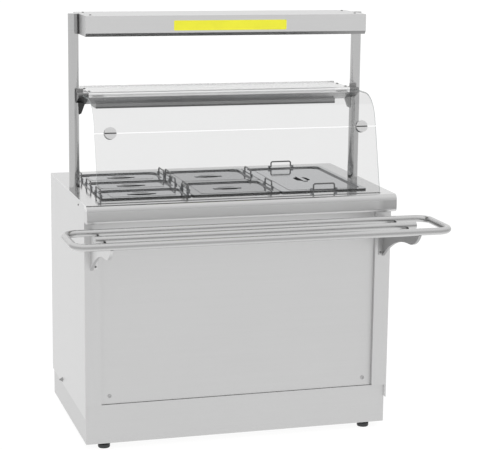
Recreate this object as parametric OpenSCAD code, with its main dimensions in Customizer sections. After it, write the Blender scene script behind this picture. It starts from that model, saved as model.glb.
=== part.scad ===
// Hot-food steam table: a stainless cabinet with a water bath for gastronorm
// pans, a two-piece curved guard glass, two shelves on round posts and a
// tubular tray slide on the customer side.
// X runs along the front, Y runs from the customer (front, -Y) to the operator
// (rear, +Y), Z is up. The origin is on the floor under the middle of the unit.

/* [Cabinet] */
// Width of the cabinet over the side panels
cabinet_w = 1124; // [1118:1:1128]
// Front plane of the cabinet stiles, behind the origin when positive
front_y = -162; // [-164:1:-160]
// Rear plane of the cabinet and of the countertop
rear_y = 510.5; // [505:0.5:512]
// Width of the front stile on each side panel
stile_w = 57; // [50:1:62]
// Height of the underside of the plinth
plinth_z = 21.5; // [20:0.5:24]
// Height of the top of the plinth
plinth_top = 163; // [158:1:168]
// Depth of the front panel behind the stiles
panel_recess = 15; // [10:1:18]

/* [Countertop] */
// Height of the countertop
counter_h = 886; // [880:1:892]
// Overhang of the front nose in front of the stiles
nose_out = 52; // [46:1:56]
// Height of the front nose
nose_h = 63; // [60:1:66]
// Radius of the upper edge of the nose
nose_r = 20; // [14:1:30]

/* [Pans] */
// Long side of one full pan (the gastronorm 1/1 length)
pan_l = 530; // [529:0.5:530]
// Short side of one full pan (the gastronorm 1/1 width)
pan_w = 325; // [324:0.5:325]
// Depth of the pans
pan_depth = 100; // [65:5:150]
// Width of the flat pan rim
pan_rim = 13; // [12:0.5:13]
// Width of a wire bail over its legs
bail_w = 85; // [78:1:88]
// Height of a wire bail over the pan rim
bail_h = 27; // [24:1:30]
// Diameter of the bail wire
bail_d = 5.5; // [5:0.1:5.6]

/* [Superstructure] */
// Distance of each post axis from the middle
post_x = 533; // [531:1:535]
// Position of the post axes, front to rear
post_y = 173; // [171:1:175]
// Diameter of the posts
post_d = 38; // [36:0.5:38]
// Height of the top of the posts and of the top shelf
top_z = 1511; // [1500:1:1520]
// Height of the middle shelf surface
shelf_z = 1237; // [1233:1:1238]
// Thickness of the guard glass
glass_t = 6; // [5:0.5:6]
// Half of the width of the guard glass
glass_x = 514; // [510:1:514]

/* [Tray slide] */
// Diameter of the tray slide tubes
tube_d = 25; // [22:0.5:25]
// Height of the tube axes
tube_z = 806; // [804:1:808]
// Half of the length of the tube loop, to its axis
loop_x = 655; // [645:0.5:660]
// Bend radius of the tube loop, to its axis
loop_r = 48; // [40:1:55]

/* [Hidden] */
$fn = 64;
cx = cabinet_w / 2;
H = counter_h;
sheet = 1.5;
nose_y = front_y - nose_out;
well_y = 165;                       // middle of the pan field, front to rear
pitch = pan_w + 2;                  // spacing of the three pan columns
open_x = 1.5 * pitch - 12.5;        // half of the countertop opening
open_y = pan_l / 2 - 11;            // half of the countertop opening, front to rear
rim_z = H + 2.2;                    // underside of the pan rims
rim_t = 1.5;
lid_z = rim_z + rim_t + 0.3;        // underside of the lid borders
third = (pan_l - 2) / 3;            // depth of a one-third pan
half = (pan_l - 1) / 2;             // depth of a half pan
pin_z = rim_z + rim_t + 5;          // height of the bail pivots
bail_in = 6.5;                      // pivot line inside the rim edge
foot_x = 489;
foot_y1 = -122;
foot_y2 = 453;
back_y = rear_y - 27;               // outer face of the recessed rear panel
loop_y1 = -498;
loop_y2 = -265;
lean = atan(60 / 234);              // lean of the lower pane from the vertical
gap_y = -109;                       // front face of the glass at the joint
gap_z = 1120;
top_y1 = 24;
top_y2 = 262;
sh_y1 = 108;
sh_y2 = 288;
ctl_z = 770;
drain_z = 530;

// Pan fields: [middle x, middle y, size along x, size along y]
y0 = well_y - pan_l / 2;
f_third = [for (i = [0:2]) [-pitch, y0 + third / 2 + i * (third + 1), pan_w, third]];
f_half = [for (i = [0:1]) [0, y0 + half / 2 + i * (half + 1), pan_w, half]];
f_full = [pitch, well_y, pan_w, pan_l];

// ---------------------------------------------------------------- helpers

// Rounded rectangle, centred
module rr(w, d, r) {
    square([w - 2 * r, d], center = true);
    square([w, d - 2 * r], center = true);
    for (sx = [-1, 1], sy = [-1, 1])
        translate([sx * (w / 2 - r), sy * (d / 2 - r)]) circle(r = r);
}

// Stadium, centred, long axis along x
module stadium(l, w) {
    square([l - w, w], center = true);
    for (s = [-1, 1]) translate([s * (l - w) / 2, 0]) circle(d = w);
}

// A profile drawn as (y, z), extruded from x0 to x1
module along_x(x0, x1)
    translate([x0, 0, 0]) rotate([90, 0, 90]) linear_extrude(x1 - x0) children();

// Box given by its two corners
module box(a, b) translate(a) cube(b - a);

// Cylinder along +Y from y0 to y1
module cyl_y(x, y, z, y1, r) translate([x, y, z]) rotate([-90, 0, 0]) cylinder(r = r, h = y1 - y);

// Cylinder along +X from x to x1
module cyl_x(x, y, z, x1, r) translate([x, y, z]) rotate([0, 90, 0]) cylinder(r = r, h = x1 - x);

// ---------------------------------------------------------------- cabinet

// Folded channel frame, open below, with a threaded boss over each foot
module base_frame() color("silver") {
    difference() {
        translate([0, (foot_y1 + foot_y2) / 2, 55]) linear_extrude(30) difference() {
            square([2 * foot_x + 40, foot_y2 - foot_y1 + 40], center = true);
            square([2 * foot_x - 40, foot_y2 - foot_y1 - 40], center = true);
        }
        translate([0, (foot_y1 + foot_y2) / 2, 54]) linear_extrude(28) difference() {
            square([2 * foot_x + 34, foot_y2 - foot_y1 + 34], center = true);
            square([2 * foot_x - 34, foot_y2 - foot_y1 - 34], center = true);
            for (x = [-foot_x, foot_x], y = [foot_y1, foot_y2] - [1, 1] * (foot_y1 + foot_y2) / 2)
                translate([x, y]) circle(r = 14);
        }
        for (x = [-foot_x, foot_x], y = [foot_y1, foot_y2])
            translate([x, y, 50]) cylinder(r = 5, h = 32);
    }
}

// Skirt of three sides with a return flange on top, set back from the stiles
module plinth() color("gainsboro") difference() {
    box([-cx + 4, front_y + 11, plinth_z], [cx - 4, rear_y - 8, plinth_top]);
    box([-cx + 6, front_y + 13, plinth_z - 1], [cx - 6, rear_y, plinth_top - 2]);
    box([-cx + 17, front_y + 25, plinth_z], [cx - 17, rear_y, plinth_top + 1]);
}

// Side skin with its front stile and a rear return, drawn for the left side
module side_panel() color("gainsboro") {
    box([-cx, front_y, 117], [-cx + sheet, rear_y, H - 2]);
    box([-cx, front_y, plinth_top], [-cx + stile_w, front_y + sheet, H - nose_h - 1]);
    box([-cx, front_y, 117], [-cx + 3.5, front_y + sheet, plinth_top + 1]);
    box([-cx + stile_w - sheet, front_y, plinth_top], [-cx + stile_w, front_y + panel_recess + 3, H - nose_h - 1]);
    box([-cx, rear_y - sheet, 117], [-cx + 28, rear_y, H - 2]);
    box([-cx + 26.5, rear_y - 26, 117], [-cx + 28, rear_y, H - 2]);
}
module left_side_panel() side_panel();
module right_side_panel() mirror([1, 0, 0]) side_panel();

// Front panel: a shallow tray with folded edges
module front_panel() color("gainsboro") difference() {
    box([-cx + stile_w + 0.4, front_y + panel_recess, plinth_top + 1],
        [cx - stile_w - 0.4, front_y + panel_recess + 20, H - nose_h - 4]);
    box([-cx + stile_w + 1.9, front_y + panel_recess + sheet, plinth_top + 2.5],
        [cx - stile_w - 1.9, front_y + panel_recess + 21, H - nose_h - 5.5]);
}

// Low domed screw head facing -Y, with a cross recess
module head_y(x, y, z, r) translate([x, y, z]) rotate([90, 0, 0]) difference() {
    union() {
        cylinder(r = r, h = 1.2);
        translate([0, 0, 1.2]) cylinder(r1 = r, r2 = r * 0.6, h = 1.6);
    }
    box([-0.9, -r * 0.5, 1.4], [0.9, r * 0.5, 4]);
    box([-r * 0.5, -0.9, 1.4], [r * 0.5, 0.9, 4]);
}
module head_x(x, y, z, r) translate([x, y, z]) rotate([0, -90, 0]) {
    cylinder(r = r, h = 1.2);
    translate([0, 0, 1.2]) cylinder(r1 = r, r2 = r * 0.6, h = 1.6);
}
module head_z(x, y, z, r) translate([x, y, z]) {
    cylinder(r = r, h = 1);
    translate([0, 0, 1]) cylinder(r1 = r, r2 = r * 0.6, h = 1.4);
}

// Screws of the front panel, side panels, shelf and tray brackets, and the
// earthing stud low on the left side
module fasteners() color("dimgray") {
    for (s = [-1, 1]) head_y(s * 473, front_y + panel_recess, 193, 7);
    head_x(-cx, -58, 866, 3.5);
    mirror([1, 0, 0]) head_x(-cx, -58, 866, 3.5);
    translate([-cx, 300, 131]) rotate([0, -90, 0]) { cylinder(r = 9, h = 1.5); translate([0, 0, 1.5]) cylinder(r = 6, h = 5, $fn = 6); translate([0, 0, 6.5]) cylinder(r = 3, h = 5); }
    for (s = [-1, 1]) {
        for (y = [sh_y1 + 30, sh_y2 - 57]) head_z(s * 484, y, shelf_z, 5);
        for (y = [75, 215]) head_z(s * 490, y, top_z, 4.5);
        for (z = [bk_foot + 14, bk_top - 34]) head_y(s * (bk_x - bk_w / 2 - 7), front_y - 3, z, 4);
    }
}

// Floor of the cabinet, on the base frame
module cabinet_floor() color("silver")
    box([-cx + 12, front_y + 14, 85], [cx - 12, rear_y - 30, 87]);

// Recessed rear panel with the control cut-outs and two ears for the rocker
module rear_panel() color("gainsboro") difference() {
    union() {
        box([-cx + 29, back_y - sheet, 90], [cx - 29, back_y, H - 4]);
        for (x = [190, 216]) box([x, back_y - 11, ctl_z - 6], [x + 4, back_y - 1, ctl_z + 6]);
    }
    cyl_y(300, back_y - 5, ctl_z, back_y + 5, 3.4);
    box([195, back_y - 5, ctl_z - 14], [215, back_y + 5, ctl_z + 14]);
    cyl_x(185, back_y - 5, ctl_z, 225, 2.6);
    cyl_y(-380, back_y - 5, 575, back_y + 5, 5.6);
    cyl_y(-380, back_y - 5, drain_z, back_y + 5, 10.3);
    cyl_y(400, back_y - 5, 250, back_y + 5, 10.3);
}

// Capillary thermostat behind the rear panel
module thermostat_body() color("lightgray") difference() {
    union() {
        box([278, back_y - sheet - 34, ctl_z - 22], [322, back_y - sheet, ctl_z + 22]);
        cyl_y(300, back_y - sheet - 44, ctl_z, back_y - sheet - 34, 9);
    }
    cyl_y(300, back_y - sheet - 20, ctl_z, back_y, 3.05);
}

// Terminal block on the cabinet floor, near the cable entry
module terminal_block() color("ivory") difference() {
    box([360, back_y - 90, 87], [440, back_y - 50, 112]);
    for (i = [0:4]) translate([372 + 14 * i, back_y - 70, 100]) cylinder(r = 4, h = 20);
}

// ---------------------------------------------------------------- countertop

// Outline of the countertop sheet seen from its end, shrunk by t
module nose_outline(t) {
    r1 = nose_r - t;
    r2 = 12 - t;
    translate([nose_y + nose_r, H - nose_r]) intersection() { circle(r = r1); translate([-nose_r, 0]) square(nose_r); }
    translate([nose_y + 12, H - nose_h + 12]) intersection() { circle(r = r2); translate([-12, -12]) square(12); }
    translate([nose_y + t, H - nose_h + 12]) square([nose_r - t, nose_h - nose_r - 12]);
    translate([nose_y + nose_r, H - nose_h + t]) square([front_y - nose_y - nose_r + 2 * t, nose_h - 2 * t]);
    translate([nose_y + 12, H - nose_h + t]) square([nose_r - 12, 12 - t]);
}

module countertop() color("lightgray") difference() {
    union() {
        along_x(-cx, cx) difference() { nose_outline(0); nose_outline(2); }
        box([-cx, front_y - 4, H - 2], [cx, rear_y, H]);
        for (s = [0, 1]) mirror([s, 0, 0]) along_x(cx - 2, cx) nose_outline(0);
        box([-cx + 2, rear_y - 2, H - 40], [cx - 2, rear_y, H]);
    }
    // behind the nose the sheet stays open below
    box([-cx + 2, front_y - 1, H - nose_h + 2], [cx - 2, front_y + 6, H - 2]);
    box([-cx - 1, front_y - 0.1, H - nose_h - 1], [cx + 1, front_y + 8, H - 2]);
    box([-cx - 1, rear_y - 4, H - 42], [-cx + 28.5, rear_y + 1, H - 2]);
    box([cx - 28.5, rear_y - 4, H - 42], [cx + 1, rear_y + 1, H - 2]);
    // opening for the pans
    translate([0, well_y, H - 5]) linear_extrude(10) rr(2 * open_x, 2 * open_y, 16);
    // holes for the posts
    for (s = [-1, 1]) translate([s * post_x, post_y, H - 5]) cylinder(d = post_d + 0.6, h = 10);
    // groove for the lower pane
    box([-glass_x - 2, -174, H - 4], [glass_x + 2, -161.5, H + 1]);
}

// Water bath with a flange under the countertop and a drain hole
module water_bath() color("silver") difference() {
    union() {
        translate([0, well_y, 690]) linear_extrude(H - 2 - 690) rr(2 * open_x + 3, 2 * open_y + 3, 17.5);
        translate([0, well_y, H - 3.5]) linear_extrude(1.5) rr(2 * open_x + 24, 2 * open_y + 40, 20);
    }
    translate([0, well_y, 691.5]) linear_extrude(H) rr(2 * open_x, 2 * open_y, 16);
    translate([-380, 392, 680]) cylinder(r = 12.2, h = 20);
}

// Two folded bars that carry the pan rims between the columns
module pan_rails() color("silver")
    for (s = [-1, 1]) difference() {
        box([s * pitch / 2 - 11, well_y - open_y, H - 24], [s * pitch / 2 + 11, well_y + open_y, H]);
        box([s * pitch / 2 - 9, well_y - open_y - 1, H - 25], [s * pitch / 2 + 9, well_y + open_y + 1, H - 2]);
    }

// Two hairpin heaters in the bottom of the bath with their terminal flanges
module heating_elements() color("dimgray")
    for (y = [well_y - 120, well_y + 90]) {
        for (d = [-40, 40]) cyl_x(-400, y + d, 716, 466, 5);
        translate([-400, y, 716]) rotate([0, 0, 90]) rotate_extrude(angle = 180) translate([40, 0]) circle(r = 5);
        box([466, y - 60, 698], [open_x, y + 60, 734]);
    }

// Drain pipe and ball valve under the bath, with a hose spigot through the
// rear panel
module drain_valve_body() color("goldenrod") difference() {
    union() {
        translate([-380, 392, 600]) cylinder(r = 12, h = 91.5);
        box([-402, 370, drain_z - 20], [-358, 440, 600]);
        cyl_y(-380, 440, 575, 455, 9);
        cyl_y(-380, 440, drain_z, back_y + 1, 9);
        cyl_y(-380, back_y + 1, drain_z, back_y + 25, 10);
    }
    translate([-380, 392, drain_z]) cylinder(r = 7, h = 170);
    cyl_y(-380, 392, drain_z, back_y + 30, 7);
    cyl_y(-380, 415, 575, 460, 5.05);
}

// ---------------------------------------------------------------- posts and shelves

// Round tube with a closed top, let into the countertop
module post() color("lightgray") difference() {
    translate([0, post_y, 700]) cylinder(d = post_d, h = top_z - 700);
    translate([0, post_y, 699]) cylinder(d = post_d - 4, h = top_z - 702);
}
module left_post() translate([-post_x, 0, 0]) post();
module right_post() translate([post_x, 0, 0]) post();

// Outline of the top shelf housing seen from its end, shrunk by t
module top_outline(t) {
    translate([top_y1 + 3, top_z - 3]) intersection() { circle(r = 3 - t); translate([-3, 0]) square(3); }
    translate([top_y2 - 3, top_z - 3]) intersection() { circle(r = 3 - t); square(3); }
    translate([top_y1 + 3, top_z - 3]) square([top_y2 - top_y1 - 6, 3 - t]);
    polygon([[top_y1 + t, top_z - 3], [top_y1 + t, top_z - 60 + t / 2], [top_y1 + 10, top_z - 72 + t],
        [top_y2 - 10, top_z - 72 + t], [top_y2 - t, top_z - 60 + t / 2], [top_y2 - t, top_z - 3]]);
}

// Heater housing, open below, with a hollow in each end for the post
module top_shelf() color("lightgray") difference() {
    along_x(-516, 516) top_outline(0);
    along_x(-post_x + 21.5, post_x - 21.5) top_outline(2);
    box([-post_x + 50, top_y1 + 45, top_z - 80], [post_x - 50, top_y2 - 45, top_z - 60]);
    for (s = [-1, 1]) translate([s * post_x, post_y, top_z - 100]) cylinder(d = post_d + 0.6, h = 120);
}

// Two quartz heater tubes with ceramic ends, hung from the housing
module heat_lamps() color("whitesmoke")
    for (y = [105, 181]) {
        cyl_x(-420, y, top_z - 50, 420, 6);
        for (s = [-1, 1]) {
            cyl_x(s * 432 - 12, y, top_z - 50, s * 432 + 12, 9);
            box([s * 432 - 3, y - 10, top_z - 44], [s * 432 + 3, y + 10, top_z - 2]);
        }
    }

// Shelf plate with a rounded nose, a sloping front soffit and a rear edge that
// stands a little over the plate
module middle_shelf() color("gray")
    along_x(-491, 491) {
        translate([sh_y1 + 9, shelf_z - 9]) intersection() {
            difference() { circle(r = 9); circle(r = 7); }
            translate([-9, 0]) square(9);
        }
        translate([sh_y1 + 8.9, shelf_z - 2]) square([sh_y2 - sh_y1 - 8.9, 2]);
        polygon([[sh_y1, shelf_z - 8.9], [sh_y1, shelf_z - 18.5], [sh_y1 + 58, shelf_z - 49], [sh_y1 + 60, shelf_z - 49],
            [sh_y1 + 60, shelf_z - 47], [sh_y1 + 2, shelf_z - 17.3], [sh_y1 + 2, shelf_z - 8.9]]);
        translate([sh_y2 - 2, shelf_z - 41]) square([2, 45]);
    }

// Light housing under the shelf, open below
module shelf_light() color("dimgray") difference() {
    box([-454, sh_y1 + 60, shelf_z - 66], [454, sh_y1 + 150, shelf_z - 2]);
    box([-451, sh_y1 + 62, shelf_z - 67], [451, sh_y1 + 148, shelf_z - 25]);
}

// Lamp tube in the light housing, with its two end sockets
module shelf_light_tube() color("white") {
    cyl_x(-430, sh_y1 + 105, shelf_z - 47, 430, 8);
    for (s = [-1, 1]) box([s * 436 - 6, sh_y1 + 95, shelf_z - 59], [s * 436 + 6, sh_y1 + 115, shelf_z - 25]);
}

// End caps of the middle shelf: an end plate, a cap that closes the nose, a
// tapered gusset against the post and a tab across its front
module shelf_brackets() color("dimgray")
    for (s = [0, 1]) mirror([s, 0, 0]) {
        along_x(491.1, 496) polygon([[sh_y1 + 4, shelf_z - 3], [sh_y1 + 1, shelf_z - 19], [sh_y1 + 58, shelf_z - 49],
            [sh_y2 - 4, shelf_z - 41], [sh_y2 - 4, shelf_z - 3]]);
        along_x(470, 495) translate([sh_y1 + 64, shelf_z - 5]) square([sh_y2 - sh_y1 - 70, 3]);
        along_x(495, 528) polygon([[sh_y1 + 4, shelf_z - 3], [sh_y1 + 1, shelf_z - 19], [sh_y1 + 44, shelf_z - 41.6], [sh_y1 + 44, shelf_z - 3]]);
        difference() {
            translate([0, post_y + 8, 0]) rotate([90, 0, 0]) linear_extrude(16)
                polygon([[495, shelf_z - 4], [495, shelf_z - 50], [507, shelf_z - 82], [516, shelf_z - 86], [516, shelf_z - 4]]);
            translate([post_x, post_y, 0]) cylinder(d = post_d + 0.2, h = 2000);
        }
        box([504, sh_y1 + 38, shelf_z - 6], [530, sh_y1 + 43, shelf_z + 9]);
    }

// ---------------------------------------------------------------- guard glass

// Half of the joint between the panes, along the lean
half_gap = 1.75;
lo_y = gap_y - half_gap * sin(lean);
lo_z = gap_z - half_gap * cos(lean);
lo_l = (lo_z - H + 1.5) / cos(lean);

// Lower pane, flat and leaning back
module lower_glass() color("lightcyan", 0.4)
    along_x(-glass_x, glass_x)
        translate([lo_y, lo_z]) rotate(-lean) translate([0, -lo_l]) square([glass_t, lo_l]);

// Upper pane: a short flat foot, a bend, and a flat tail to the middle shelf
flat_l = 26;
arc_r = 110;
up_y = gap_y + half_gap * sin(lean);
up_z = gap_z + half_gap * cos(lean);
arc_y = up_y + flat_l * sin(lean) + arc_r * cos(lean);
arc_z = up_z + flat_l * cos(lean) - arc_r * sin(lean);
module upper_glass() color("lightcyan", 0.4)
    along_x(-glass_x + 0.5, glass_x - 0.5) {
        translate([up_y, up_z]) rotate(-lean) square([glass_t, flat_l + 0.4]);
        intersection() {
            translate([arc_y, arc_z]) difference() { circle(r = arc_r, $fn = 128); circle(r = arc_r - glass_t, $fn = 128); }
            polygon([[arc_y, arc_z], [arc_y - 2 * arc_r * cos(lean), arc_z + 2 * arc_r * sin(lean)],
                [arc_y - 2 * arc_r, arc_z + 2 * arc_r], [arc_y, arc_z + 2 * arc_r]]);
        }
        translate([arc_y - 0.4, arc_z + arc_r - glass_t]) square([sh_y1 + 0.2 - arc_y, glass_t]);
    }
tail_z = arc_z + arc_r - glass_t;

// Two round clamps that hold the panes edge to edge, slotted across the face,
// and two pads under the tail of the upper pane
module glass_clamps() color("silver") {
    for (x = [-459, 459]) box([x - 20, sh_y1 - 14, tail_z - 4], [x + 20, sh_y1, tail_z - 0.02]);
    for (x = [-459, 459]) translate([x, gap_y, gap_z]) rotate([-lean, 0, 0]) difference() {
        union() {
            translate([0, -0.05, 0]) rotate([90, 0, 0]) cylinder(d = 42, h = 7);
            translate([0, glass_t + 0.05, 0]) rotate([-90, 0, 0]) cylinder(d = 42, h = 6);
            translate([0, -1, 0]) rotate([-90, 0, 0]) cylinder(d = 3, h = glass_t + 2);
        }
        box([-30, -8, -1.5], [30, -2.5, 1.5]);
    }
}

// ---------------------------------------------------------------- tray slide

// Closed loop of tube with one inner bar
module tray_rails() color("lightgray") {
    for (y = [loop_y1, loop_y2]) cyl_x(-loop_x + loop_r, y, tube_z, loop_x - loop_r, tube_d / 2);
    for (s = [-1, 1]) cyl_y(s * loop_x, loop_y1 + loop_r, tube_z, loop_y2 - loop_r, tube_d / 2);
    for (sx = [0, 1], sy = [0, 1])
        translate([0, (loop_y1 + loop_y2) / 2, tube_z]) mirror([sx, 0, 0]) mirror([0, sy, 0])
            translate([loop_x - loop_r, (loop_y2 - loop_y1) / 2 - loop_r, 0])
                rotate_extrude(angle = 90) translate([loop_r, 0]) circle(d = tube_d);
    cyl_x(-568, (loop_y1 + loop_y2) / 2, tube_z, 568, tube_d / 2);
}

// Channel bracket under each end of the slide, with a foot plate on the stile
bk_x = 536;
bk_w = 10;
bk_y = loop_y1 - 7;
bk_top = tube_z - tube_d / 2;
bk_m = -416;                        // where the two curves of the underside meet
bk_z = 747;
bk_foot = 652;
module bracket_outline() {
    // foot and arm over a long concave curve
    difference() {
        translate([bk_m - 0.2, bk_foot]) square([front_y - bk_m + 0.2, bk_top - bk_foot]);
        translate([bk_m, bk_z - 387]) circle(r = 387, $fn = 128);
    }
    // front end with a convex underside
    intersection() {
        translate([bk_m, bk_z + 105]) circle(r = 105, $fn = 128);
        translate([bk_y, bk_z - 1]) square([bk_m - bk_y, bk_top - bk_z + 1]);
    }
}
module tray_brackets() color("darkgray")
    for (s = [0, 1]) mirror([s, 0, 0]) {
        difference() {
            along_x(bk_x - bk_w / 2, bk_x + bk_w / 2) bracket_outline();
            // folded channel, open above
            along_x(bk_x - bk_w / 2 + 2, bk_x + bk_w / 2 - 2) intersection() {
                translate([0, 4]) bracket_outline();
                translate([bk_y + 4, 0]) square([front_y - bk_y - 7, 2000]);
            }
        }
        box([bk_x - bk_w / 2 - 14, front_y - 3, bk_foot + 5], [bk_x - bk_w / 2 + 2, front_y, bk_top - 24]);
    }

// ---------------------------------------------------------------- services

// Cable gland in the rear panel
module cable_gland() color("black") difference() {
    union() {
        cyl_y(400, back_y - 14, 250, back_y + 4, 10);
        cyl_y(400, back_y, 250, back_y + 7, 14);
        cyl_y(400, back_y + 7, 250, back_y + 20, 11);
        cyl_y(400, back_y - sheet - 6, 250, back_y - sheet, 14);
    }
    cyl_y(400, back_y - 20, 250, back_y + 30, 5);
}

// Thermostat knob with a pointer rib and its spindle
module thermostat_knob() color("black") {
    cyl_y(300, back_y + 1.5, ctl_z, back_y + 15, 20);
    box([297.5, back_y + 15, ctl_z - 18], [302.5, back_y + 22, ctl_z + 18]);
    cyl_y(300, back_y - 18, ctl_z, back_y + 1.5, 3);
}

// Rocker of the power switch with its pivot pin
module power_switch() color("darkred") {
    along_x(196, 214) polygon([[back_y - 12, ctl_z - 9], [back_y - 12, ctl_z + 9], [back_y + 2, ctl_z + 11],
        [back_y + 1, ctl_z], [back_y + 5, ctl_z - 11]]);
    cyl_x(190.5, back_y - 5, ctl_z, 219.5, 2.5);
}

// Lever of the drain valve with its stem
module drain_lever() color("firebrick") {
    cyl_y(-380, 418, 575, back_y + 6, 5);
    translate([-380, back_y + 10, 575]) rotate([90, 0, 0]) linear_extrude(4) {
        circle(r = 10);
        translate([-8, 0]) square([16, 80]);
        translate([0, 80]) circle(r = 8);
    }
}

// Levelling foot with its threaded stud
module foot(x, y) color("dimgray") translate([x, y, 0]) {
    cylinder(r = 20, h = 3);
    translate([0, 0, 3]) cylinder(r = 21.5, h = 10);
    translate([0, 0, 13]) cylinder(r1 = 21.5, r2 = 12, h = 9);
    cylinder(r = 4.95, h = 78);
}
module foot_front_left() foot(-foot_x, foot_y1);
module foot_front_right() foot(foot_x, foot_y1);
module foot_rear_left() foot(-foot_x, foot_y2);
module foot_rear_right() foot(foot_x, foot_y2);

// ---------------------------------------------------------------- pans

// Half of the bail row, from the pan centre to the pivot line
function bail_off(f, ax) = (ax == 0 ? f[2] : f[3]) / 2 - bail_in;

// Pan with a flat rim turned down at its edge and two pairs of pivot lugs; ax is
// 0 for bails at the ends along x and 1 for bails at the ends along y
module pan(f, ax) color("silver") translate([f[0], f[1], 0]) {
    difference() {
        union() {
            difference() {
                translate([0, 0, H + 0.2]) linear_extrude(rim_z + rim_t - H - 0.2) rr(f[2], f[3], 12);
                translate([0, 0, H - 1]) linear_extrude(rim_z - H + 1) rr(f[2] - 3, f[3] - 3, 10.5);
            }
            translate([0, 0, rim_z - pan_depth]) linear_extrude(pan_depth) rr(f[2] - 2 * pan_rim, f[3] - 2 * pan_rim, 24);
        }
        translate([0, 0, rim_z - pan_depth + 1.2]) linear_extrude(pan_depth + 10) rr(f[2] - 2 * pan_rim - 2.4, f[3] - 2 * pan_rim - 2.4, 22.8);
    }
    for (s = [-1, 1], q = [-1, 1]) rotate(ax == 0 ? 0 : 90) difference() {
        translate([s * bail_off(f, ax) - 4, q * (bail_w / 2 + 4.5) - 3.5, rim_z + 0.5]) cube([8, 7, 10]);
        translate([s * bail_off(f, ax), q * (bail_w / 2 + 4.5) + 10, pin_z]) rotate([90, 0, 0]) cylinder(r = 2.05, h = 20);
    }
}
module pan_third_front() pan(f_third[0], 0);
module pan_third_middle() pan(f_third[1], 0);
module pan_third_rear() pan(f_third[2], 0);
module pan_half_front() pan(f_half[0], 0);
module pan_half_rear() pan(f_half[1], 0);
module pan_full() pan(f_full, 1);

// Lid with a flat border, a dished panel with a raised field, an oval finger
// cup, a grip bar and two notches that clear the bails
grip_l = 84;
grip_w = 54;
module lid(f, ax) color("lightgray") translate([f[0], f[1], lid_z]) {
    w = f[2];
    d = f[3];
    difference() {
        linear_extrude(rim_t) rr(w - 1, d - 1, 12);
        translate([0, 0, -1]) linear_extrude(4) rr(w - 34, d - 34, 20.5);
        for (s = [-1, 1]) rotate(ax == 0 ? 0 : 90)
            translate([s * (bail_off(f, ax) + 5) - 13, -bail_w / 2 - 10, -1]) cube([26, bail_w + 20, 10]);
    }
    difference() {
        union() {
            difference() {
                translate([0, 0, -5]) linear_extrude(5 + rim_t) rr(w - 31, d - 31, 22);
                translate([0, 0, -3.5]) linear_extrude(20) rr(w - 34, d - 34, 20.5);
            }
            translate([0, 0, -3.6]) linear_extrude(1.1) rr(w - 90, d - 90, 14);
        }
        rotate(ax == 0 ? 0 : 90) translate([0, 0, -6]) linear_extrude(5) stadium(grip_l, grip_w);
    }
    rotate(ax == 0 ? 0 : 90) {
        difference() {
            translate([0, 0, -24]) linear_extrude(20.5) stadium(grip_l + 3, grip_w + 3);
            translate([0, 0, -22.5]) linear_extrude(30) stadium(grip_l, grip_w);
        }
        translate([-grip_l / 2 - 9, -8, -3.5]) cube([grip_l + 18, 16, 3]);
    }
}
module lid_third_front() lid(f_third[0], 0);
module lid_third_middle() lid(f_third[1], 0);
module lid_third_rear() lid(f_third[2], 0);
module lid_half_front() lid(f_half[0], 0);
module lid_half_rear() lid(f_half[1], 0);
module lid_full() lid(f_full, 1);

// Wire bail standing upright between its lugs; s is the end of the pan
module bail(f, ax, s) color("gray") translate([f[0], f[1], 0]) rotate(ax == 0 ? 0 : 90)
    translate([s * bail_off(f, ax), 0, 0]) {
        r = bail_d / 2;
        leg = bail_w / 2 - r;
        bend = 7;
        top = rim_z + rim_t + bail_h - r;
        for (q = [-1, 1]) {
            translate([0, q * leg, pin_z]) sphere(r = r);
            translate([0, q * leg, pin_z]) cylinder(r = r, h = top - bend - pin_z);
            translate([0, q > 0 ? leg : -leg - 11.5 + r, pin_z]) rotate([-90, 0, 0]) cylinder(r = 2, h = 11.5 - r);
            translate([0, q * (leg - bend), top - bend]) rotate([0, -90, 0]) rotate([0, 0, q > 0 ? 0 : -90])
                rotate_extrude(angle = 90) translate([bend, 0]) circle(r = r);
        }
        translate([0, -leg + bend, top]) rotate([-90, 0, 0]) cylinder(r = r, h = 2 * (leg - bend));
    }
module bail_third_front_left() bail(f_third[0], 0, -1);
module bail_third_front_right() bail(f_third[0], 0, 1);
module bail_third_middle_left() bail(f_third[1], 0, -1);
module bail_third_middle_right() bail(f_third[1], 0, 1);
module bail_third_rear_left() bail(f_third[2], 0, -1);
module bail_third_rear_right() bail(f_third[2], 0, 1);
module bail_half_front_left() bail(f_half[0], 0, -1);
module bail_half_front_right() bail(f_half[0], 0, 1);
module bail_half_rear_left() bail(f_half[1], 0, -1);
module bail_half_rear_right() bail(f_half[1], 0, 1);
module bail_full_front() bail(f_full, 1, -1);
module bail_full_rear() bail(f_full, 1, 1);

// ---------------------------------------------------------------- assembly

base_frame();
plinth();
left_side_panel();
right_side_panel();
front_panel();
fasteners();
cabinet_floor();
rear_panel();
thermostat_body();
terminal_block();
countertop();
water_bath();
pan_rails();
heating_elements();
drain_valve_body();
left_post();
right_post();
top_shelf();
heat_lamps();
middle_shelf();
shelf_light();
shelf_light_tube();
shelf_brackets();
lower_glass();
upper_glass();
glass_clamps();
tray_rails();
tray_brackets();
cable_gland();
thermostat_knob();
power_switch();
drain_lever();
foot_front_left();
foot_front_right();
foot_rear_left();
foot_rear_right();
pan_third_front();
pan_third_middle();
pan_third_rear();
pan_half_front();
pan_half_rear();
pan_full();
lid_third_front();
lid_third_middle();
lid_third_rear();
lid_half_front();
lid_half_rear();
lid_full();
bail_third_front_left();
bail_third_front_right();
bail_third_middle_left();
bail_third_middle_right();
bail_third_rear_left();
bail_third_rear_right();
bail_half_front_left();
bail_half_front_right();
bail_half_rear_left();
bail_half_rear_right();
bail_full_front();
bail_full_rear();
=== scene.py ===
import math

import bmesh
import bpy
from mathutils import Matrix, Vector


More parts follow.
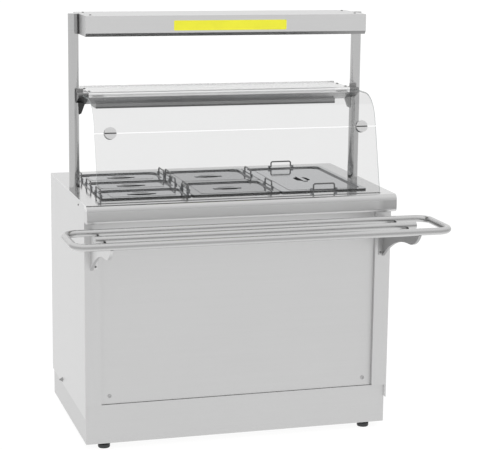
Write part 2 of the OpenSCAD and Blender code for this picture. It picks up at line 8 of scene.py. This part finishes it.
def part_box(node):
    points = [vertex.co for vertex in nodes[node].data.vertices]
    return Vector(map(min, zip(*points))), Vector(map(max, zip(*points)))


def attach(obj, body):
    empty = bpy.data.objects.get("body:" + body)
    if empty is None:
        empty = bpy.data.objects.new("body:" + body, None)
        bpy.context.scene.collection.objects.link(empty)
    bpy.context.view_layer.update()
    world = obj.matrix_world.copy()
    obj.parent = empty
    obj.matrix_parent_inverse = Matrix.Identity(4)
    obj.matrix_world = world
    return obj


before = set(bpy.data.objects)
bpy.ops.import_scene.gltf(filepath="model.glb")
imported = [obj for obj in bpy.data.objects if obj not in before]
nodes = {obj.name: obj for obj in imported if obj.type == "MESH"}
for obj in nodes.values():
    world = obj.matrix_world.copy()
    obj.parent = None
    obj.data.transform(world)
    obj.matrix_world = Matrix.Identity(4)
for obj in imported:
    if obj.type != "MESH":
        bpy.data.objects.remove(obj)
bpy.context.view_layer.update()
scene = bpy.context.scene

# ------------------------------------------------------------------ camera

cam_data = bpy.data.cameras.new("camera")
cam_data.sensor_width = 36.0
cam_data.lens = 117.23
cam_data.clip_start = 0.05
cam_data.clip_end = 200.0
cam = bpy.data.objects.new("camera", cam_data)
scene.collection.objects.link(cam)
right = Vector((0.95877, -0.28393, 0.01258)).normalized()
up = Vector((0.04344, 0.19015, 0.98080)).normalized()
back = right.cross(up).normalized()
up = back.cross(right).normalized()
cam.matrix_world = Matrix.Translation((-1.58265, -5.55852, 1.90546)) @ Matrix(
    (right, up, back)).transposed().to_4x4()
scene.camera = cam

# ------------------------------------------------------------------ node helpers


class Tree:
    """A small helper that adds and links shader nodes."""

    def __init__(self, name):
        self.mat = bpy.data.materials.new(name)
        self.mat.use_nodes = True
        self.t = self.mat.node_tree
        self.t.nodes.clear()
        self.out = self.add("ShaderNodeOutputMaterial")
        self.bsdf = self.add("ShaderNodeBsdfPrincipled")
        self.link(self.bsdf.outputs["BSDF"], self.out.inputs["Surface"])
        self.coord = self.add("ShaderNodeTexCoord")

    def add(self, kind, **values):
        n = self.t.nodes.new(kind)
        for k, v in values.items():
            setattr(n, k, v)
        return n

    def link(self, a, b):
        self.t.links.new(a, b)

    def noise(self, scale, detail=3.0, rough=0.55, stretch=(1, 1, 1), turn=(0, 0, 0)):
        m = self.add("ShaderNodeMapping")
        m.inputs["Scale"].default_value = stretch
        m.inputs["Rotation"].default_value = turn
        self.link(self.coord.outputs["Object"], m.inputs["Vector"])
        n = self.add("ShaderNodeTexNoise")
        n.inputs["Scale"].default_value = scale
        n.inputs["Detail"].default_value = detail
        n.inputs["Roughness"].default_value = rough
        self.link(m.outputs["Vector"], n.inputs["Vector"])
        return n.outputs["Fac"]

    def span(self, value, low, high, out_low, out_high):
        r = self.add("ShaderNodeMapRange")
        r.inputs["From Min"].default_value = low
        r.inputs["From Max"].default_value = high
        r.inputs["To Min"].default_value = out_low
        r.inputs["To Max"].default_value = out_high
        self.link(value, r.inputs["Value"])
        return r.outputs["Result"]

    def math(self, op, a, b):
        m = self.add("ShaderNodeMath", operation=op)
        for i, v in enumerate((a, b)):
            if isinstance(v, (int, float)):
                m.inputs[i].default_value = v
            else:
                self.link(v, m.inputs[i])
        return m.outputs[0]

    def mix(self, fac, a, b, kind="MIX"):
        m = self.add("ShaderNodeMix", data_type="RGBA", blend_type=kind)
        for socket, v in ((m.inputs[0], fac), (m.inputs[6], a), (m.inputs[7], b)):
            if isinstance(v, (int, float)):
                socket.default_value = v
            elif isinstance(v, (tuple, list)):
                socket.default_value = (*v, 1.0) if len(v) == 3 else v
            else:
                self.link(v, socket)
        return m.outputs[2]

    def bump(self, height, strength, distance):
        b = self.add("ShaderNodeBump")
        b.inputs["Strength"].default_value = strength
        b.inputs["Distance"].default_value = distance
        self.link(height, b.inputs["Height"])
        self.link(b.outputs["Normal"], self.bsdf.inputs["Normal"])

    def set(self, **values):
        names = {"metallic": "Metallic", "rough": "Roughness", "ior": "IOR", "coat": "Coat Weight",
                 "coat_rough": "Coat Roughness", "spec": "Specular IOR Level", "aniso": "Anisotropic",
                 "alpha": "Alpha", "transmission": "Transmission Weight", "emit": "Emission Strength"}
        for k, v in values.items():
            self.bsdf.inputs[names[k]].default_value = v


def shade(c, k):
    return tuple(min(1.0, x * k) for x in c)


def grey(v, k=1.0, blue=0.0):
    """Linear grey for a tone from 0 to 255."""
    c = v / 255.0
    c = k * (c / 12.92 if c <= 0.04045 else ((c + 0.055) / 1.055) ** 2.4)
    return (c * (1 - blue), c, c * (1 + 1.6 * blue))


BRUSH = {"x": (5, 420, 420), "y": (420, 5, 420), "z": (420, 420, 5)}
WIDE = {"x": (1.2, 60, 60), "y": (60, 1.2, 60), "z": (60, 60, 1.2)}


def steel(name, color, rough, brush="x", amp=0.05, tone=0.035, metallic=1.0, scratch=True, painted_ramp=None, painted_shades=(), relief=0.10, soft=None):
    """Rolled or brushed stainless steel. Fine lines run along one axis, with
    soft clouds and a few handling marks. A painted ramp blends to a second
    colour along one axis, as painted light and shade across a part, and painted
    shades colour the faces that look one way, if need be only on one side of
    a place along an axis, as painted light and shade by facing. Soft adds
    roughness past a place along an axis."""
    t = Tree(name)
    t.set(metallic=metallic)
    fine = t.noise(1.0, 2.0, 0.6, BRUSH[brush])
    wide = t.noise(1.0, 3.0, 0.55, WIDE[brush])
    cloud = t.noise(3.2, 4.0, 0.6)
    lines = t.math("ADD", t.math("MULTIPLY", fine, 0.55), t.math("MULTIPLY", wide, 0.45))
    tone_fac = t.math("ADD", t.math("MULTIPLY", lines, 0.6), t.math("MULTIPLY", cloud, 0.4))
    col = (*color, 1.0)
    # Painted light and shade: blend the colour to a second one along an axis of the part.
    if painted_ramp is not None:
        axis, low, high, other = painted_ramp
        s = t.add("ShaderNodeSeparateXYZ")
        t.link(t.coord.outputs["Object"], s.inputs[0])
        col = t.mix(t.span(s.outputs[axis], low, high, 0.0, 1.0), color, other)
    # Painted light and shade: colour the faces that look one way, if need be only on one side of a place.
    if painted_shades:
        g = t.add("ShaderNodeNewGeometry")
        s = t.add("ShaderNodeSeparateXYZ")
        t.link(g.outputs["Normal"], s.inputs[0])
        place = t.add("ShaderNodeSeparateXYZ")
        t.link(t.coord.outputs["Object"], place.inputs[0])
        for axis, low, high, other, *part in painted_shades:
            value = s.outputs[axis[-1]]
            if axis[0] == "|":
                value = t.math("ABSOLUTE", value, 0.0)
            fac = t.span(value, low, high, 0.0, 1.0)
            if part:
                fac = t.math("MULTIPLY", fac, t.span(place.outputs[part[0]], part[1], part[2], 0.0, 1.0))
            col = t.mix(fac, col, other)
    k = t.span(tone_fac, 0.32, 0.68, 1 - tone, 1 + tone)
    scale = t.add("ShaderNodeCombineColor")
    for i in range(3):
        t.link(k, scale.inputs[i])
    t.link(t.mix(1.0, col, scale.outputs[0], "MULTIPLY"), t.bsdf.inputs["Base Color"])
    r = t.math("ADD", t.span(lines, 0.3, 0.7, rough - amp, rough + amp), t.span(cloud, 0.3, 0.7, -amp * 0.6, amp * 0.6))
    if scratch:
        marks = t.noise(9.0, 6.0, 0.75, (1, 1, 1), (0.4, 0.2, 0.9))
        r = t.math("ADD", r, t.span(marks, 0.62, 0.74, 0.0, 0.06))
    if soft is not None:
        axis, low, high, more = soft
        s = t.add("ShaderNodeSeparateXYZ")
        t.link(t.coord.outputs["Object"], s.inputs[0])
        r = t.math("ADD", r, t.span(s.outputs[axis], low, high, 0.0, more))
    t.link(r, t.bsdf.inputs["Roughness"])
    t.bump(fine, relief, 0.00025)
    return t.mat


def plastic(name, color, rough, grain=900.0, bump=0.18, tone=0.12, coat=0.0):
    """Moulded plastic or rubber with a fine spark-eroded grain and slightly uneven colour."""
    t = Tree(name)
    t.set(coat=coat, coat_rough=0.12)
    grain_n = t.noise(grain, 2.0, 0.6)
    cloud = t.noise(14.0, 4.0, 0.6)
    t.link(t.mix(t.span(cloud, 0.3, 0.7, 0.0, 1.0), shade(color, 1 - tone), shade(color, 1 + tone)), t.bsdf.inputs["Base Color"])
    t.link(t.math("ADD", t.span(cloud, 0.3, 0.7, rough - 0.05, rough + 0.05), t.span(grain_n, 0.3, 0.7, -0.05, 0.05)), t.bsdf.inputs["Roughness"])
    t.bump(grain_n, bump, 0.0002)
    return t.mat


def glass(name, face, edge, face_alpha, edge_alpha):
    """Clear toughened glass: a faint film that grows a little denser at grazing angles, with darker polished edges."""
    t = Tree(name)
    t.set(rough=0.05, ior=1.45, spec=0.15)
    g = t.add("ShaderNodeNewGeometry")
    s = t.add("ShaderNodeSeparateXYZ")
    t.link(g.outputs["Normal"], s.inputs[0])
    end = t.span(t.math("ABSOLUTE", s.outputs["X"], 0.0), 0.6, 0.9, 0.0, 1.0)
    smear = t.noise(5.0, 4.0, 0.6, (1, 1, 0.4))
    tint = t.mix(t.span(smear, 0.3, 0.7, 0.0, 1.0), shade(face, 0.94), shade(face, 1.06))
    t.link(t.mix(end, tint, edge), t.bsdf.inputs["Base Color"])
    f = t.add("ShaderNodeFresnel")
    f.inputs["IOR"].default_value = 1.45
    film = t.math("ADD", t.span(smear, 0.3, 0.7, face_alpha * 0.97, face_alpha * 1.03), t.math("MULTIPLY", f.outputs[0], 0.06))
    a = t.add("ShaderNodeMix", data_type="FLOAT")
    t.link(end, a.inputs[0])
    t.link(film, a.inputs[2])
    a.inputs[3].default_value = edge_alpha
    t.link(a.outputs[0], t.bsdf.inputs["Alpha"])
    return t.mat


def ceramic(name, color, rough):
    """Frosted quartz or glazed ceramic."""
    t = Tree(name)
    t.set(ior=1.46, coat=0.3, coat_rough=0.1)
    cloud = t.noise(60.0, 3.0, 0.6)
    t.link(t.mix(t.span(cloud, 0.3, 0.7, 0.0, 1.0), shade(color, 0.93), shade(color, 1.04)), t.bsdf.inputs["Base Color"])
    t.link(t.span(cloud, 0.3, 0.7, rough - 0.06, rough + 0.06), t.bsdf.inputs["Roughness"])
    t.bump(cloud, 0.06, 0.0002)
    return t.mat


# ------------------------------------------------------------------ materials

# Painted shade: upright faces at the pan rims, the lid edges and the lid handle cups are painted darker on one side of
# a height, as shade in the gaps and recesses.
RIM_EDGE_SHADE = ("|Z", 0.6, 0.3, grey(92), "Z", 0.8904, 0.8898)
LID_EDGE_SHADE = ("|Z", 0.6, 0.3, grey(92), "Z", 0.8880, 0.8888)
CUP_WALL_SHADE = ("|Z", 0.6, 0.3, grey(150), "Z", 0.8882, 0.8874)
M = {
    # Painted light: the side panels get a lighter copy of the front steel, and their faces that look front or back are
    # painted back to the front tone.
    "side": steel("steel_side", grey(209), 0.42, "z", painted_shades=(("|Y", 0.6, 0.9, grey(199)),)),
    "front": steel("steel_front", grey(199), 0.42, "x"),
    # Painted light and shade: the countertop is painted lighter towards the right and coloured by the way its faces
    # look. The nose rounding darkens as it turns down, its upright face is lighter again but darker at the right end,
    # and undersides, ends and rear faces each get their own tone.
    "counter": steel("steel_counter", grey(203), 0.13, "x", painted_ramp=("X", -0.50, 0.45, grey(214)), amp=0.03, tone=0.018, relief=0.03, soft=("Z", 0.876, 0.866, 0.28),
                     painted_shades=(("Z", 0.995, 0.95, grey(206)), ("Z", 0.70, 0.20, grey(182)), ("Z", 0.10, 0.0, grey(198)),
                            ("Z", 0.06, 0.0, grey(172), "X", 0.490, 0.515), ("Z", -0.02, -0.20, grey(211)),
                            ("|X", 0.6, 0.9, grey(206)), ("Y", 0.5, 0.9, grey(200)))),
    "inner": steel("steel_inner", grey(150), 0.45, "x"),
    # Painted light and shade: the middle shelf's front faces are painted near white, its undersides darker, and the
    # undersides further back lighter again.
    "shelf": steel("steel_shelf", grey(238), 0.18, "x", metallic=0.5, tone=0.02, relief=0.03,
                   painted_shades=(("Y", -0.3, -0.9, grey(254)), ("Z", -0.2, -0.7, grey(158)), ("Z", -0.2, -0.7, grey(204), "Y", 0.122, 0.162))),
    # Painted shade: the shelf light housing's front faces below a height and its undersides are painted darker.
    "light": steel("steel_light", grey(166), 0.45, "x", painted_shades=(("Y", -0.5, -0.9, grey(112), "Z", 1.1785, 1.1760), ("Z", -0.2, -0.7, grey(105)))),
    # Painted shade and light: the shelf brackets are painted dark as shade beside the posts. The right-hand bracket is
    # painted lighter, as are their upper front faces, left-looking faces and tops.
    "bracket": steel("steel_bracket", grey(72), 0.38, "z", painted_ramp=("X", 0.2, 0.4, grey(150)), painted_shades=(("Y", -0.5, -0.9, grey(135), "Z", 1.222, 1.232),
                                                                ("X", -0.5, -0.9, grey(150)), ("Z", 0.5, 0.9, grey(205)))),
    # Painted light and shade: the top shelf's upper faces are painted lighter and its undersides darker.
    "top": steel("steel_top", grey(200), 0.38, "x", painted_shades=(("Z", 0.9, 0.98, grey(218)), ("Z", -0.05, -0.3, grey(150)))),
    # Painted shade: the flanks of the tray tubes are painted darker as dark lines between the tubes, and their
    # undersides lighter again.
    "tube": steel("steel_tube", grey(200), 0.24, "x", amp=0.04, painted_shades=(("Z", 0.60, 0.22, grey(164)), ("Z", -0.10, -0.45, grey(200)))),
    "post": steel("steel_post", grey(180), 0.13, "z", amp=0.04),
    # Painted light: the tray bracket on the left is painted lighter than the one on the right.
    "arm": steel("steel_arm", grey(208), 0.40, "y", painted_ramp=("X", -0.2, 0.2, grey(172))),
    "pan": steel("steel_pan", grey(165, 1.0, 0.02), 0.10, "x", amp=0.03, tone=0.02, relief=0.03, painted_shades=(RIM_EDGE_SHADE,)),
    # Painted reflection and shade: the lid tops are painted darker in the middle column and lighter in the right
    # column.
    "lid": steel("steel_lid", grey(165, 1.0, 0.02), 0.07, "x", amp=0.025, tone=0.02, relief=0.03, painted_shades=(("Z", 0.5, 0.9, grey(141, 1.0, 0.02), "X", -0.168, -0.160),
                                                                              ("Z", 0.5, 0.9, grey(175, 1.0, 0.02), "X", 0.160, 0.168), LID_EDGE_SHADE, CUP_WALL_SHADE)),
    "wire": steel("steel_wire", grey(128), 0.24, "x", amp=0.05, scratch=False),
    # Painted shade: faces that look up or down and a narrow band of front faces are painted dark, as shade in the clamp
    # slot.
    "clamp": steel("steel_clamp", grey(206), 0.34, "x", painted_shades=(("|Z", 0.8, 0.95, grey(95)), ("Y", -0.5, -0.9, grey(88), "Z", 1.1223, 1.1219),
                                                              ("Y", -0.5, -0.9, grey(206), "Z", 1.1192, 1.1188))),
    # Painted light: the front faces of the screws low on the unit are painted lighter.
    "screw": steel("steel_screw", grey(125), 0.36, "x", painted_shades=(("Y", 0.2, -0.2, grey(176), "Z", 0.30, 0.25),)),
    "heater": steel("steel_heater", (0.16, 0.15, 0.145), 0.5, "x"),
    "brass": steel("brass_valve", (0.62, 0.43, 0.16), 0.34, "z"),
    "glass": glass("guard_glass", (0.10, 0.105, 0.105), (0.30, 0.33, 0.33), 0.128, 0.60),
    "quartz": ceramic("quartz_tube", (0.86, 0.84, 0.80), 0.28),
    "foot": plastic("foot_plastic", (0.030, 0.030, 0.032), 0.55),
    "black": plastic("black_plastic", (0.022, 0.022, 0.024), 0.42),
    "ivory": plastic("ivory_plastic", (0.70, 0.66, 0.56), 0.5),
    "red": plastic("switch_plastic", (0.45, 0.02, 0.016), 0.28, coat=0.4),
    "enamel": plastic("lever_enamel", (0.42, 0.025, 0.02), 0.32, grain=300.0, coat=0.3),
    "rubber": plastic("seal_rubber", (0.20, 0.20, 0.202), 0.62),
    "yellow": plastic("strip_yellow", (0.86, 0.83, 0.026), 0.45, grain=500.0, bump=0.05, tone=0.04),
    "bead": plastic("seal_bead", (0.84, 0.84, 0.84), 0.5, bump=0.08, tone=0.04),
    "mark": plastic("dial_mark", (0.78, 0.78, 0.76), 0.5),
}

LOOK = {
    "base_frame": "inner", "plinth": "front", "left_side_panel": "side", "right_side_panel": "side",
    "front_panel": "front", "fasteners": "screw", "cabinet_floor": "inner", "rear_panel": "front",
    "thermostat_body": "ivory", "terminal_block": "ivory", "countertop": "counter", "water_bath": "inner",
    "pan_rails": "counter", "heating_elements": "heater", "drain_valve_body": "brass", "left_post": "post",
    "right_post": "post", "top_shelf": "top", "heat_lamps": "quartz", "middle_shelf": "shelf",
    "shelf_light": "light", "shelf_light_tube": "quartz", "shelf_brackets": "bracket", "lower_glass": "glass",
    "upper_glass": "glass", "glass_clamps": "clamp", "tray_rails": "tube", "tray_brackets": "arm",
    "cable_gland": "black", "thermostat_knob": "black", "power_switch": "red", "drain_lever": "enamel",
}
for name, obj in nodes.items():
    key = LOOK.get(name)
    if key is None:
        key = {"foot": "foot", "pan": "pan", "lid": "lid", "bail": "wire"}[name.split("_")[0]]
    obj.data.materials.clear()
    obj.data.materials.append(M[key])

# ------------------------------------------------------------------ added pieces


def piece(name, bm, mat, body, smooth=False):
    bmesh.ops.remove_doubles(bm, verts=bm.verts, dist=1e-7)
    bmesh.ops.recalc_face_normals(bm, faces=bm.faces)
    me = bpy.data.meshes.new(name)
    bm.to_mesh(me)
    bm.free()
    for p in me.polygons:
        p.use_smooth = smooth
    o = bpy.data.objects.new(name, me)
    scene.collection.objects.link(o)
    me.materials.append(M[mat])
    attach(o, body)
    return o


def prism(bm, loop, move):
    """Closed solid from a loop of points and the vector that it is swept along."""
    a = [bm.verts.new(p) for p in loop]
    b = [bm.verts.new(Vector(p) + Vector(move)) for p in loop]
    n = len(loop)
    bm.faces.new(a[::-1])
    bm.faces.new(b)
    for i in range(n):
        bm.faces.new((a[i], a[(i + 1) % n], b[(i + 1) % n], b[i]))


def round_rect(x0, x1, z0, z1, r, steps=6):
    pts = []
    for cx, cz, start in ((x1 - r, z1 - r, 0), (x0 + r, z1 - r, 90), (x0 + r, z0 + r, 180), (x1 - r, z0 + r, 270)):
        for i in range(steps + 1):
            a = math.radians(start + 90 * i / steps)
            pts.append((cx + r * math.cos(a), cz + r * math.sin(a)))
    return pts


# Plain coloured strip on the front of the top shelf
bm = bmesh.new()
y_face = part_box("top_shelf")[0].y
outer = round_rect(-0.202, 0.213, 1.4585, 1.4940, 0.004)
inner = round_rect(-0.2012, 0.2122, 1.4593, 1.4932, 0.0035)
rings = [[bm.verts.new((x, y, z)) for x, z in loop] for loop, y in (
    (outer, y_face), (outer, y_face - 0.0004), (inner, y_face - 0.0008))]
n = len(outer)
for a, b in zip(rings, rings[1:]):
    for i in range(n):
        bm.faces.new((a[i], a[(i + 1) % n], b[(i + 1) % n], b[i]))
bm.faces.new(rings[0])
bm.faces.new(rings[-1][::-1])
piece("colour_strip", bm, "yellow", "cabinet")

# Rubber lips on both sides of the lower pane where it stands in the countertop
H = 0.886
LEAN = 60 / 234
glass_front = -0.109 + (H - 1.120) * LEAN
glass_rear = glass_front + 0.006 * math.sqrt(1 + LEAN * LEAN)
bm = bmesh.new()
for y0, y1, k in ((-0.1738, glass_front - 0.0001, 1), (-0.1617, glass_rear + 0.0001, -1)):
    loop = [(y0, H - 0.0018), (y0, H + 0.0002), (y0 + 0.25 * (y1 - y0), H + 0.0006), (y0 + 0.6 * (y1 - y0), H + 0.0009),
            (y1 + 0.0008 * LEAN, H + 0.0008), (y1 - 0.0018 * LEAN, H - 0.0018)]
    if k < 0:
        loop = loop[::-1]
    prism(bm, [(-0.5155, y, z) for y, z in loop], (1.031, 0, 0))
piece("glass_seal", bm, "rubber", "cabinet")

# Sealing bead between the ends of the plinth and the side panels
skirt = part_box("plinth")
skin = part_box("right_side_panel")[1].x - 0.0015
bm = bmesh.new()
x0, x1, y = skirt[1].x + 0.0001, skin - 0.0001, skirt[0].y
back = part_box("right_side_panel")[0].y + 0.0018
bead = [(x0, y + 0.0030), (x0, y + 0.0002), (x0 + 0.0001, y - 0.0030), (x0 + 0.0003, y - 0.0060), (x0 + 0.0007, back), (x1, back), (x1, y + 0.0030)]
for s in (1, -1):
    prism(bm, [(s * x, yy, 0.1185) for x, yy in bead][::s], (0, 0, skirt[1].z - 0.1190))
piece("skirt_bead", bm, "bead", "cabinet")

# Dial ring with plain marks behind the thermostat knob
back_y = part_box("rear_panel")[1].y
bm = bmesh.new()
cx, cz, ring = 0.300, 0.770, []
SEG = 64
for r, y in ((0.0065, back_y), (0.0065, back_y + 0.0008), (0.0335, back_y + 0.0008), (0.0340, back_y + 0.0004), (0.0340, back_y)):
    ring.append([bm.verts.new((cx + r * math.cos(2 * math.pi * i / SEG), y, cz + r * math.sin(2 * math.pi * i / SEG))) for i in range(SEG)])
for a, b in zip(ring, ring[1:] + ring[:1]):
    for i in range(SEG):
        bm.faces.new((a[i], a[(i + 1) % SEG], b[(i + 1) % SEG], b[i]))
piece("dial_ring", bm, "black", "cabinet")
bm = bmesh.new()
for i in range(11):
    a = math.radians(90 - 27 * i)
    u = Vector((math.cos(a), 0, math.sin(a)))
    w = Vector((-math.sin(a), 0, math.cos(a)))
    c = Vector((cx, back_y + 0.0008, cz))
    r0, r1, h = (0.0235, 0.0315, 0.0008) if i % 5 == 0 else (0.0255, 0.0305, 0.0005)
    prism(bm, [c + u * r0 - w * h, c + u * r1 - w * h, c + u * (r1 + h) , c + u * r1 + w * h, c + u * r0 + w * h], (0, 0.0004, 0))
piece("dial_marks", bm, "mark", "cabinet")

# Bezel round the power switch
bm = bmesh.new()
loops = [(round_rect(0.1944, 0.2156, 0.7554, 0.7846, 0.0015), back_y), (round_rect(0.1944, 0.2156, 0.7554, 0.7846, 0.0015), back_y + 0.0016),
         (round_rect(0.1935, 0.2165, 0.7545, 0.7855, 0.002), back_y + 0.0022), (round_rect(0.1905, 0.2195, 0.7515, 0.7885, 0.004), back_y + 0.0022),
         (round_rect(0.1895, 0.2205, 0.7505, 0.7895, 0.0045), back_y + 0.0012), (round_rect(0.1895, 0.2205, 0.7505, 0.7895, 0.0045), back_y)]
rows = [[bm.verts.new((x, y, z)) for x, z in loop] for loop, y in loops]
n = len(rows[0])
for a, b in zip(rows, rows[1:] + rows[:1]):
    for i in range(n):
        bm.faces.new((a[i], a[(i + 1) % n], b[(i + 1) % n], b[i]))
piece("switch_bezel", bm, "black", "cabinet")

# ------------------------------------------------------------------ stage and light

bm = bmesh.new()
bmesh.ops.create_grid(bm, x_segments=8, y_segments=8, size=40.0)
me = bpy.data.meshes.new("floor")
bm.to_mesh(me)
bm.free()
floor = bpy.data.objects.new("floor", me)
floor.location = (0, 0, -0.0003)
scene.collection.objects.link(floor)
t = Tree("floor_pale")
t.set(rough=0.9, spec=0.1, emit=0.94)
t.link(t.mix(t.noise(0.8, 3.0, 0.5), (0.09, 0.09, 0.09), (0.11, 0.11, 0.11)), t.bsdf.inputs["Base Color"])
t.bsdf.inputs["Emission Color"].default_value = (1, 1, 1, 1)
me.materials.append(t.mat)

# Even studio light, a little brighter from above and from the left
world = bpy.data.worlds.new("studio")
scene.world = world
world.use_nodes = True
wt = world.node_tree
bg = wt.nodes["Background"]
w_coord = wt.nodes.new("ShaderNodeTexCoord")
w_dot = wt.nodes.new("ShaderNodeVectorMath")
w_dot.operation = "DOT_PRODUCT"
w_dot.inputs[1].default_value = (-0.07, -0.02, 0.05)
wt.links.new(w_coord.outputs["Generated"], w_dot.inputs[0])
w_add = wt.nodes.new("ShaderNodeMath")
w_add.inputs[1].default_value = 0.97
wt.links.new(w_dot.outputs["Value"], w_add.inputs[0])
bg.inputs["Color"].default_value = (1, 1, 1, 1)
wt.links.new(w_add.outputs[0], bg.inputs["Strength"])

scene.view_settings.view_transform = "Standard"
scene.view_settings.look = "None"
scene.view_settings.exposure = 0.0
scene.view_settings.gamma = 1.0
